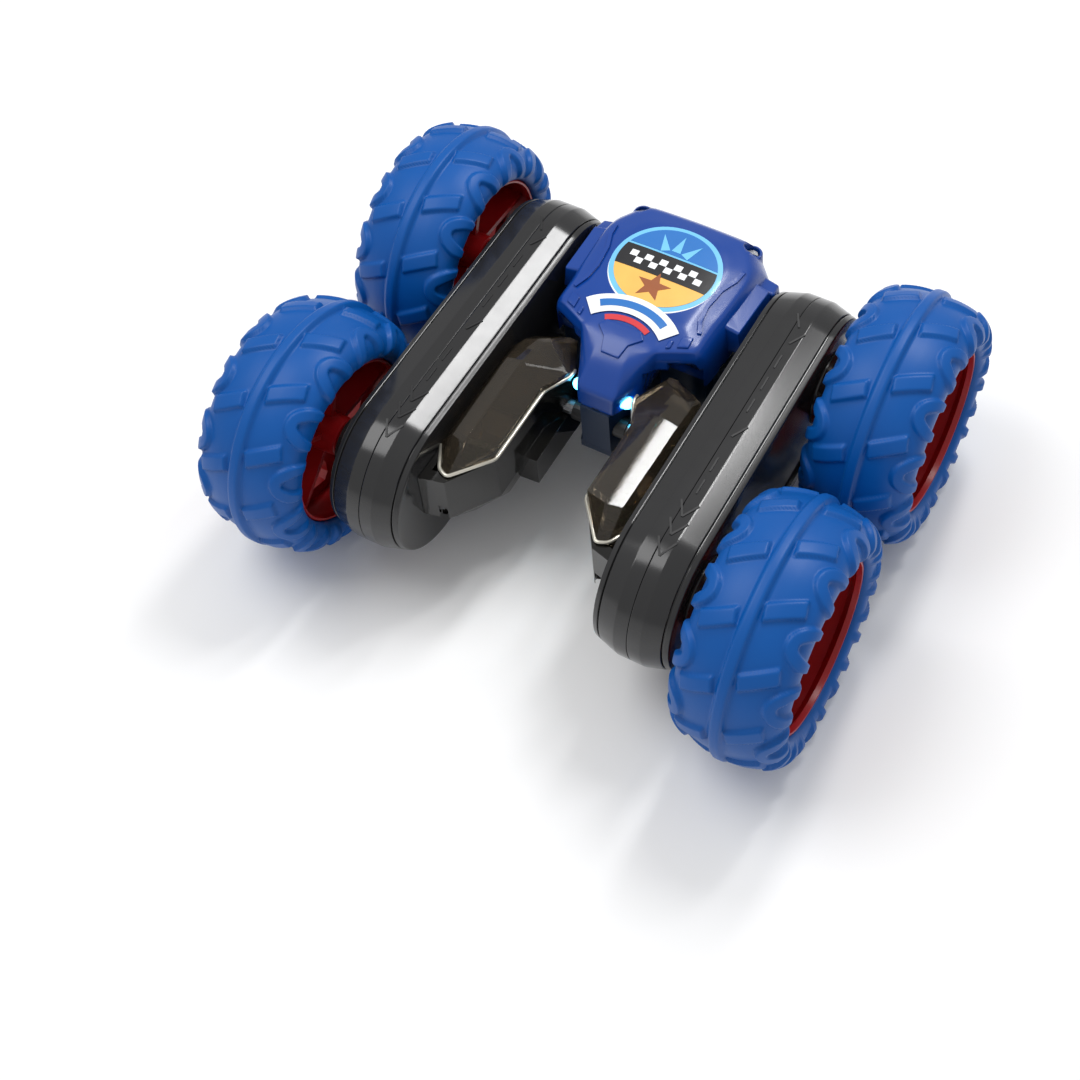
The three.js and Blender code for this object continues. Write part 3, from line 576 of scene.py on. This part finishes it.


# ---- pods ------------------------------------------------------------------------------------
# The bead runs only along the rim edges that catch the light, its brightness a painted highlight
# there.
BEAD_LINE = [(9.3, 3.0, 12.1), (9.3, 0.5, 12.1), (13.1, -6.8, 12.2), (13.1, -31.6, 12.2),
             (21.6, -42.0, 12.1), (24.6, -40.7, 12.1), (28.1, -34.0, 12.1)]
BEAD_R = 0.5
BEAD_SIDES = 10
BEAD_EASE = 0.35 * 3    # how far from a corner its easing starts
COVER_BOSS = [(12.2, 1.2), (12.2, 2.4), (15.2, 2.3), (15.5, 2.0), (15.5, 1.4), (15.2, 1.2)]
COVER_BOSS_AT = ((19.2, -9.6), (22.4, -27.0))


def tube(points, radius, sides):
    """Round bead along an open polyline in millimetres, its corners eased."""
    pts = [Vector(p) for p in points]
    eased = []
    for i, p in enumerate(pts):
        if i in (0, len(pts) - 1):
            eased.append(p)
            continue
        a, b = pts[i - 1], pts[i + 1]
        da = min(BEAD_EASE, (a - p).length * 0.4)
        db = min(BEAD_EASE, (b - p).length * 0.4)
        pa, pb = p + (a - p).normalized() * da, p + (b - p).normalized() * db
        for t in (0, 0.33, 0.67, 1):
            eased.append((pa * (1 - t) + p * t) * (1 - t) + (p * (1 - t) + pb * t) * t)
    verts, faces = [], []
    m = len(eased)
    for i, p in enumerate(eased):
        before = eased[i - 1] if i else p
        after = eased[i + 1] if i < m - 1 else p
        ahead = (after - before).normalized()
        out = ahead.cross(Vector((0, 0, 1))).normalized()
        up = out.cross(ahead)
        for k in range(sides):
            a = 2 * math.pi * k / sides
            verts.append(tuple(p + (out * math.cos(a) + up * math.sin(a)) * radius))
    for i in range(m - 1):
        for k in range(sides):
            a, b = i * sides + k, i * sides + (k + 1) % sides
            faces.append((a, b, b + sides, a + sides))
    faces.append(tuple(range(sides))[::-1])
    faces.append(tuple(range((m - 1) * sides, m * sides)))
    return verts, faces


def cad_copy(node, name, mat):
    """New piece with a CAD node's shape, its triangles merged into flat faces."""
    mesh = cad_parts[node].data.copy()
    mesh.materials.clear()
    mesh.materials.append(mat)
    obj = bpy.data.objects.new(name, mesh)
    bpy.context.scene.collection.objects.link(obj)
    bm = bmesh.new()
    bm.from_mesh(mesh)
    bmesh.ops.remove_doubles(bm, verts=bm.verts, dist=WELD_GAP)
    bmesh.ops.dissolve_limit(bm, angle_limit=0.02, verts=bm.verts, edges=bm.edges)
    bm.to_mesh(mesh)
    bm.free()
    return obj


def pods(side, s):
    """Smoked cover, the tub below it, the cover's bead, its bright colour a painted highlight, and
    its screw bosses.
    """
    mirror = s < 0
    arm = f"arm_{side}"
    cover = cad_copy(f"pod_cover_{side}", f"clear_cover_{side}", SMOKE)
    place(soften(cover, 0.3, 12, 2, 30), arm, f"pod_cover_{side}", slot="smoke_clear")
    base = cad_copy(f"pod_base_{side}", f"pod_tub_{side}", TUB)
    place(soften(base, 0.25, 48, 2, 24), arm, f"pod_base_{side}", slot="arm_black")
    bead = make(f"cover_bead_highlight_{side}", *tube(BEAD_LINE, BEAD_R, BEAD_SIDES), BEAD_HIGHLIGHT, mirror)
    bead.data.shade_smooth()
    place(bead, arm, slot="smoke_clear")
    for k, (x, y) in enumerate(COVER_BOSS_AT):
        ring = make(f"cover_boss_{k + 1}_{side}", *lathe(COVER_BOSS, 40, "z"), SMOKE, mirror,
                    (x, y, 0))
        place(soften(ring, 0), arm, slot="smoke_clear")


# ---- body ------------------------------------------------------------------------------------
# The +X half of the hood's outline at each height, from the nose to the tail.
BODY = [
    [8.0, [(0, -3.4), (5.2, -3.4), (7.0, 1.2), (9.0, 6.0), (10.3, 10.3), (20.6, 14.8),
           (22.6, 17.0), (23.2, 25.0), (23.7, 29.0), (24.8, 47.5), (24.4, 53.5), (17.6, 60.6),
           (0, 61.2)]],
    [14.0, [(0, -3.0), (5.4, -3.0), (7.5, 1.2), (9.6, 6.0), (10.6, 10.2), (20.8, 14.6),
            (22.6, 16.6), (23.0, 24.4), (23.4, 28.6), (24.4, 47.0), (23.9, 52.6), (17.3, 60.0),
            (0, 60.6)]],
    [20.0, [(0, 3.6), (4.8, 3.8), (8.0, 5.6), (10.0, 7.6), (11.4, 10.0), (20.9, 14.5),
            (22.2, 16.2), (22.3, 24.0), (22.6, 28.8), (23.2, 45.4), (22.0, 50.2), (16.6, 58.4),
            (0, 59.0)]],
    [22.6, [(0, 9.0), (4.0, 9.2), (8.0, 9.6), (9.8, 9.8), (11.2, 10.8), (19.6, 15.0),
            (20.4, 17.0), (20.2, 24.0), (21.0, 29.4), (21.6, 43.8), (19.8, 48.2), (15.0, 55.4),
            (0, 56.0)]],
    [24.2, [(0, 17.0), (4.0, 17.0), (7.0, 17.4), (8.4, 17.8), (9.6, 18.4), (14.0, 20.4),
            (15.0, 22.4), (15.0, 26.0), (15.4, 30.0), (15.6, 41.6), (14.0, 45.0), (11.0, 50.0),
            (0, 50.6)]],
]
CROWN_Z = 24.75      # the cage's top face, drawn in about a point of the plan
CROWN_Y = 33.5
CROWN_SCALE = 0.55
CAVITY = [
    [7.0, [(0, 21.0), (20.4, 21.0), (21.2, 26.0), (21.7, 31.0), (22.6, 47.0), (22.2, 52.0),
           (16.2, 58.2), (0, 58.6)]],
    [14.0, [(0, 21.0), (20.0, 21.0), (20.8, 26.0), (21.2, 31.0), (22.2, 46.6), (21.6, 51.0),
            (15.8, 57.4), (0, 57.8)]],
    [20.6, [(0, 21.0), (15.0, 21.0), (16.0, 26.0), (16.6, 31.0), (17.2, 43.0), (15.6, 47.0),
            (11.0, 52.6), (0, 53.0)]],
]
# Crease by the corner of an outline, counted from the nose, and by layer.
CORNER_CREASE = {1: 0.75, 2: 0.35, 4: 0.85, 5: 0.85, 6: 0.45, 8: 0.5, 9: 0.35, 10: 0.5, 11: 0.55}
LAYER_CREASE = {0: 1.0, 1: 0.25, 2: 0.2, 3: 0.4, 4: 0.45}
WALL_FADE = (1.0, 1.0, 0.75, 0.4, 0.0)
SIDE_BAR = [(21.4, 28.0, 20.4), (26.2, 28.0, 19.4), (21.4, 46.2, 19.8), (26.7, 46.0, 18.6),
            (22.0, 27.6, 10.4), (27.2, 28.2, 11.2), (22.0, 46.8, 10.4), (27.7, 46.2, 11.0)]
SIDE_LUG = [(21.6, 46.4, 17.6), (27.6, 46.6, 16.6), (21.6, 51.8, 16.6), (27.0, 51.4, 15.6),
            (22.0, 45.8, 9.0), (28.2, 46.0, 9.6), (22.0, 52.2, 9.0), (27.6, 51.8, 9.6)]
REAR_BOSS = [(14, 0), (14, 3.1), (18.9, 2.9), (19.4, 2.6), (19.6, 2.1), (19.6, 0)]
BOSS_X = 16.8
BOSS_Y, BOSS_BORE_Y = 55.6, 55.4
LAMP_Y, LAMP_Z = 1.0, 9.9
LAMP_LENS = [(4.9, 0), (4.9, 1.75), (7.4, 1.75), (8.1, 1.45), (8.6, 0.9), (8.8, 0.4), (8.85, 0)]


def symmetric(half):
    return half + [(-x, y) for x, y in half if x > 0][::-1]


def shell_skin():
    """Smooth hood: a subdivided cage through the outlines, with the open pockets cut out."""
    layers = [[z, symmetric(half)] for z, half in BODY]
    top = layers[-1][1]
    n = len(top)
    crown = [(x * CROWN_SCALE, CROWN_Y + (y - CROWN_Y) * CROWN_SCALE) for x, y in top]
    layers.append([CROWN_Z, crown])
    obj = make("hood", *loft(layers))
    mesh = obj.data
    crease = mesh.attributes.new("crease_edge", "FLOAT", "EDGE")
    for edge in mesh.edges:
        a, b = sorted(edge.vertices)
        la, lb, ia, ib = a // n, b // n, a % n, b % n
        value = 0.0
        if la == lb:
            value = LAYER_CREASE.get(la, 0.0)
            spot = sorted((min(ia, n - ia), min(ib, n - ib)))
            if la == 1 and spot in ([0, 1], [1, 2]):
                value = 0.8
            if la in (2, 3) and spot == [4, 5]:
                value = 0.75
        elif la + 1 == lb:
            k = min(ia, n - ia)
            value = CORNER_CREASE.get(k, 0.1) * WALL_FADE[la]
        crease.data[edge.index].value = value
    sub = obj.modifiers.new("sub", "SUBSURF")
    sub.levels = sub.render_levels = 3
    apply(obj)
    tools = [make("cavity", *loft([[z, symmetric(h)] for z, h in CAVITY]))]
    for s in (-1, 1):
        a, b = sorted((s * POCKET_X, s * 40))
        tools.append(make("pocket", *drum(POCKET_R, a, b, 96)))
        a, b = sorted((s * POCKET_X, s * 22.0))
        tools.append(make("under_lip", *brick(a, b, 4, 18.2, 0, 15.6)))
        # The pod covers pass here with the arms' front ends up.
        path = [(4, 15.2), (15.4, 15.2), (15.0, 16.4), (14.3, 18.6), (4, 18.6)]
        tools.append(hull("cover_room", [(s * x, y, z) for x in (14.0, 23.0) for y, z in path]))
    boolean(obj, tools)
    return obj


def surface_height(obj):
    """Function giving an object's top over a point of the plan, in millimetres."""
    graph = bpy.context.evaluated_depsgraph_get()
    tree = BVHTree.FromObject(obj, graph)

    def height(x, y):
        hit = tree.ray_cast(Vector((x * MM, y * MM, 0.2)), Vector((0, 0, -1)))
        return hit[0].z / MM - AXLE_Z if hit[0] else OFF_HOOD_Z
    return height


OFF_HOOD_Z = 20.0
FILM_STEP = 1.2


def decal(name, outline, mat, height, lift, slot="badge_print", rise=0.1):
    """Thin film that follows the hood: outline in plan, lifted off the surface, rise thick."""
    mesh = bpy.data.meshes.new(name)
    bm = bmesh.new()
    bm.faces.new([bm.verts.new((x, y, 0)) for x, y in outline])
    for axis, normal in enumerate((Vector((1, 0, 0)), Vector((0, 1, 0)))):
        lo, hi = min(p[axis] for p in outline), max(p[axis] for p in outline)
        k = math.ceil(lo / FILM_STEP)
        while k * FILM_STEP < hi:
            bmesh.ops.bisect_plane(bm, geom=bm.verts[:] + bm.edges[:] + bm.faces[:],
                                   plane_co=normal * (k * FILM_STEP), plane_no=normal, dist=1e-5)
            k += 1
    bmesh.ops.triangulate(bm, faces=[f for f in bm.faces if len(f.verts) > 4])
    for v in bm.verts:
        v.co.z = height(v.co.x, v.co.y) + lift
    bmesh.ops.recalc_face_normals(bm, faces=bm.faces)
    if sum(f.normal.z for f in bm.faces) < 0:
        bmesh.ops.reverse_faces(bm, faces=bm.faces)
    top = bm.faces[:]
    made = bmesh.ops.extrude_face_region(bm, geom=top)
    for v in [g for g in made["geom"] if isinstance(g, bmesh.types.BMVert)]:
        v.co.z += rise
    bmesh.ops.reverse_faces(bm, faces=[f for f in top if f.is_valid])
    bm.normal_update()
    for v in bm.verts:
        v.co = Vector((v.co.x * MM, v.co.y * MM, (v.co.z + AXLE_Z) * MM))
    bm.to_mesh(mesh)
    bm.free()
    obj = bpy.data.objects.new(name, mesh)
    bpy.context.scene.collection.objects.link(obj)
    mesh.materials.append(mat)
    mesh.shade_smooth()
    mesh.set_sharp_from_angle(angle=math.radians(40))
    place(obj, "chassis", slot=slot)
    return obj


def arc(cx, cy, r, a0, a1, steps):
    """Points round a circle from the angle a0 to a1, in degrees."""
    turns = [math.radians(a0 + (a1 - a0) * i / steps) for i in range(steps + 1)]
    return [(cx + r * math.cos(a), cy + r * math.sin(a)) for a in turns]


BADGE_AT = (0.6, 35.9)
BADGE_R = 15.3
FIELD_R = 13.9
CHECK = 2.1
CHECK_PITCH = 2.2
STAR_R, STAR_WAIST_R, STAR_DROP = 5.0, 2.1, 7.6
RAY_TIP_R, RAY_FOOT_R, RAY_HALF = 12.2, 6.0, 1.3
RIBBON_AT = (0.2, 2.4)
# The films' heights over the hood, so that each lies on the one below.
FILM_1, FILM_2, FILM_3, FILM_4, FILM_5, FILM_6 = 0.02, 0.13, 0.22, 0.32, 0.33, 0.44


def ribbon_band(r0, r1, half, steps):
    """Curved band between two radii, spread half degrees to either side of the nose line."""
    return (arc(*RIBBON_AT, r0, 90 + half, 90 - half, steps)
            + arc(*RIBBON_AT, r1, 90 - half, 90 + half, steps))


def emblem(height):
    """Generic racing roundel: sky ring, dark chequered band, tan star field and a plain ribbon."""
    cx, cy = BADGE_AT
    decal("badge_ring", arc(cx, cy, BADGE_R, 0, 360, 72)[:-1], PRINT["sky"], height, FILM_1)
    decal("badge_field", arc(cx, cy, FIELD_R, 20, 160, 40), PRINT["deep"], height, FILM_2)
    decal("badge_sun", arc(cx, cy, FIELD_R, 180, 360, 40), PRINT["tan"], height, FILM_2)
    ink = arc(cx, cy, FIELD_R, -16, 16.5, 10) + arc(cx, cy, FIELD_R, 163.5, 196, 10)
    decal("badge_band", ink, PRINT["ink"], height, FILM_3)
    for k in range(-5, 5):
        for row in (0, 1):
            if (k + row) % 2:
                continue
            x0, y0 = cx + k * CHECK_PITCH + 0.1, cy - CHECK + row * CHECK
            x1, y1 = x0 + CHECK, y0 + 2.0
            decal(f"badge_check_{k + 5}_{row}", [(x0, y0), (x1, y0), (x1, y1), (x0, y1)],
                  PRINT["white"], height, FILM_4)
    star = []
    for i in range(10):
        r = STAR_WAIST_R if i % 2 else STAR_R
        a = math.radians(90 + 36 * i)
        star.append((cx + r * math.cos(a), cy - STAR_DROP + r * math.sin(a)))
    decal("badge_star", star, PRINT["rust"], height, FILM_3)
    for k, a in enumerate((62, 90, 118)):
        c, s = math.cos(math.radians(a)), math.sin(math.radians(a))
        ray = [(cx + r * c - w * s, cy + r * s + w * c)
               for r, w in ((RAY_TIP_R, 0), (RAY_FOOT_R, RAY_HALF), (RAY_FOOT_R, -RAY_HALF))]
        decal(f"badge_ray_{k}", ray, PRINT["sky"], height, FILM_3)
    decal("badge_ribbon", ribbon_band(20.6, 15.0, 42, 28), PRINT["white"], height, FILM_5)
    decal("badge_stripe_red", ribbon_band(14.2, 12.6, 28, 24), PRINT["crimson"], height, FILM_2)
    decal("badge_stripe_blue", ribbon_band(18.9, 16.7, 32, 24), PRINT["deep"], height, FILM_6)


def stroke(points, width):
    """Outline of a narrow line along points in plan."""
    left, right = [], []
    for i, (x, y) in enumerate(points):
        ax, ay = points[max(0, i - 1)]
        bx, by = points[min(len(points) - 1, i + 1)]
        d = math.hypot(bx - ax, by - ay)
        nx, ny = -(by - ay) / d * width / 2, (bx - ax) / d * width / 2
        left.append((x + nx, y + ny))
        right.append((x - nx, y - ny))
    return left + right[::-1]


NOSE_PANEL = [(0, 5.4), (2.6, 5.4), (3.6, 9.0), (6.6, 11.8), (5.0, 13.8), (0, 13.8)]
CLIP = [(15.2, 13.9), (15.2, 17.2), (18.0, 18.4), (18.0, 15.1)]
CLIP_TAB = [(12.6, 12.4), (12.6, 14.8), (13.8, 15.3), (13.8, 12.9)]
FENDER_LINE = [(18.6, 20.4), (17.0, 24.0), (16.4, 29.0), (17.2, 36.0), (19.0, 41.0), (19.4, 45.0)]
FENDER_WIDTH = 1.1


def seams(height):
    """Moulded relief of the hood: nose panel, shoulder clips and the fender edges."""
    shapes = {"nose_panel": symmetric(NOSE_PANEL)[::-1]}
    for side, s in SIDES:
        shapes[f"clip_{side}"] = [(s * x, y) for x, y in CLIP]
        shapes[f"clip_tab_{side}"] = [(s * x, y) for x, y in CLIP_TAB]
        shapes[f"fender_{side}"] = stroke([(s * x, y) for x, y in FENDER_LINE], FENDER_WIDTH)
    for key, outline in shapes.items():
        relief = decal(f"hood_{key}", outline, HOOD, height, -0.3, slot="hood_blue", rise=0.9)
        soften(relief, 0.34, 50, 3, 60)


def body():
    """Hood with its bars, bosses, relief and emblem, the belly shell and the lamps."""
    hood = shell_skin()
    parts = [hood]
    for _, s in SIDES:
        for name, corners in (("bar", SIDE_BAR), ("lug", SIDE_LUG)):
            parts.append(soften(hull(name, corners, s < 0), 0.7, 20, 3))
        parts.append(make("boss", *lathe(REAR_BOSS, 48, "z", closed=False),
                          at=(s * BOSS_X, BOSS_Y, 0)))
    merge("hood", parts, HOOD)
    tools = []
    for _, s in SIDES:
        tools.append(make("head", *post(2.15, 17.0, 30, 32, s * BOSS_X, BOSS_BORE_Y)))
        tools.append(make("bore", *post(1.25, 0, 17.2, 24, s * BOSS_X, BOSS_BORE_Y)))
        a, b = sorted((s * 4.6, s * 9.4))
        tools.append(make("lamp", *drum(2.0, a, b, 40, LAMP_Y, LAMP_Z)))
    boolean(hood, tools)
    soften(hood, 0, shade=38)
    place(hood, "chassis", "body_shell_upper", slot="hood_blue")
    height = surface_height(hood)
    emblem(height)
    seams(height)
    badge = decal("badge_back", arc(0.6, 35.2, 15.2, 0, 360, 72)[:-1], PRINT["white"], height, -0.06)
    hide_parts("hood_badge")

    # The belly shell takes the navy with painted shade.
    lower = cad_copy("body_shell_lower", "belly_shell", SHADED_NAVY)
    rooms = []
    for _, s in SIDES:
        a, b = sorted((s * POCKET_X, s * 14.0))
        # The pod tubs pass here with the arms' front ends down.
        rooms.append(make("tub_room", *brick(a, b, 3, 9.5, -20.5, -14)))
    boolean(lower, rooms)
    place(soften(lower, 0.35, 16, 2, 34), "chassis", "body_shell_lower", slot="chassis_navy")
    for side, s in SIDES:
        lens = make(f"lamp_lens_{side}", *lathe(LAMP_LENS, 40, closed=False), LENS, s < 0,
                    (0, LAMP_Y, LAMP_Z))
        lens.data.shade_smooth()
        place(lens, "chassis", f"headlight_{side}", slot="lens_cool")


# ---- carried-over CAD nodes ------------------------------------------------------------------
ARM_NODES = (
    ("drive_motor", CAN, 0.3), ("light_board", BOARD, 0.1), ("motor_pinion", BRASS, 0.05),
    ("reduction_gear", NYLON, 0.08), ("idler_gear_front", NYLON, 0.08),
    ("idler_gear_rear", NYLON, 0.08), ("case_screw", STEEL, 0.08), ("pivot_bush", MATTE, 0.1),
    ("shell_screw", STEEL, 0.1), ("axle_front", STEEL, 0.12), ("axle_gear_front", NYLON, 0.08),
    ("axle_rear", STEEL, 0.12), ("axle_gear_rear", NYLON, 0.08),
)
CHASSIS_NODES = (
    ("battery_door", SHADED_NAVY, 0.25), ("door_screw", STEEL, 0.1), ("chassis_frame", SHADED_NAVY, 0.35),
    ("pivot_shaft", STEEL, 0.2), ("battery_cell", WRAP, 0.5), ("control_board", BOARD, 0.1),
    ("charge_socket", MATTE, 0.2), ("power_switch", MATTE, 0.25),
)


def carry(node, mat, width):
    """Gives a CAD node its finish and rounds its edges."""
    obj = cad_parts[node]
    obj.data.materials.clear()
    obj.data.materials.append(mat)
    bevel(obj, width, 30, 2)


def carried():
    for side, _ in SIDES:
        for node, mat, width in ARM_NODES:
            carry(f"{node}_{side}", mat, width)
    for node, mat, width in CHASSIS_NODES:
        carry(node, mat, width)


# ---- stage, light and camera -----------------------------------------------------------------
def softbox(name, centre, size, watts, target=(0, 0, 30)):
    """Rectangular light: its centre from the axle plane, what it faces from the floor."""
    light = bpy.data.lights.new(name, "AREA")
    light.shape = "RECTANGLE"
    light.size, light.size_y = size[0] * MM, size[1] * MM
    light.energy = watts
    obj = bpy.data.objects.new(name, light)
    bpy.context.scene.collection.objects.link(obj)
    obj.location = Vector((centre[0], centre[1], centre[2] + AXLE_Z)) * MM
    aim = Vector(target) * MM - obj.location
    obj.rotation_euler = aim.to_track_quat("-Z", "Y").to_euler()


FLOOR_HALF, FLOOR_THICK, FLOOR_GAP = 4000, 20, 0.02
DAYLIGHT = 0.6


def stage():
    """Pale floor, even daylight and the soft lights whose reflections run along the arms."""
    half = FLOOR_HALF
    floor = make("floor", *brick(-half, half, -half, half, -AXLE_Z - FLOOR_THICK,
                                 -AXLE_Z - FLOOR_GAP), PALE)
    world = bpy.data.worlds.new("studio")
    world.use_nodes = True
    background = world.node_tree.nodes["Background"]
    background.inputs["Color"].default_value = (1, 1, 1, 1)
    background.inputs["Strength"].default_value = DAYLIGHT
    bpy.context.scene.world = world
    softbox("softbox_near", (17, 355, 600), (76, 270), 1.5, (-35, 0, 55))
    softbox("softbox_mid", (209, 380, 600), (62, 300), 0.24, (43, 0, 55))
    softbox("softbox_pod", (151, 322, 600), (44, 160), 0.56, (24, -18, 52))
    softbox("softbox_key", (-300, -140, 680), (420, 420), 2.3)


CAMERA_TURN = (31.188, 52.028, -3.3415)    # azimuth, elevation and roll in degrees
CAMERA_AT = (0.15476, -0.24894, 0.42012)
CAMERA_SHIFT = (-0.0689, -0.1335)
CAMERA_LENS, CAMERA_SENSOR = 60.43, 36


def camera():
    """Camera at the photograph's viewpoint, as fitted to the four tyres."""
    azimuth, elevation, roll = (math.radians(v) for v in CAMERA_TURN)
    back = Vector((math.sin(azimuth) * math.cos(elevation), -math.cos(azimuth) * math.cos(elevation),
                   math.sin(elevation)))
    right = (-back).cross(Vector((0, 0, 1))).normalized()
    up = right.cross(-back)
    x = right * math.cos(roll) + up * math.sin(roll)
    y = up * math.cos(roll) - right * math.sin(roll)
    data = bpy.data.cameras.new("camera")
    data.sensor_width = CAMERA_SENSOR
    data.lens = CAMERA_LENS
    data.shift_x, data.shift_y = CAMERA_SHIFT
    cam = bpy.data.objects.new("camera", data)
    rows = [(x[i], y[i], back[i], CAMERA_AT[i]) for i in range(3)]
    cam.matrix_world = Matrix((*rows, (0, 0, 0, 1)))
    data.clip_start, data.clip_end = 0.01, 50
    bpy.context.scene.collection.objects.link(cam)
    bpy.context.scene.camera = cam


stage()
camera()
bpy.context.scene.view_settings.view_transform = "Standard"
wheels()
for side, s in SIDES:
    arm_halves(side, s)
    pods(side, s)
body()
carried()
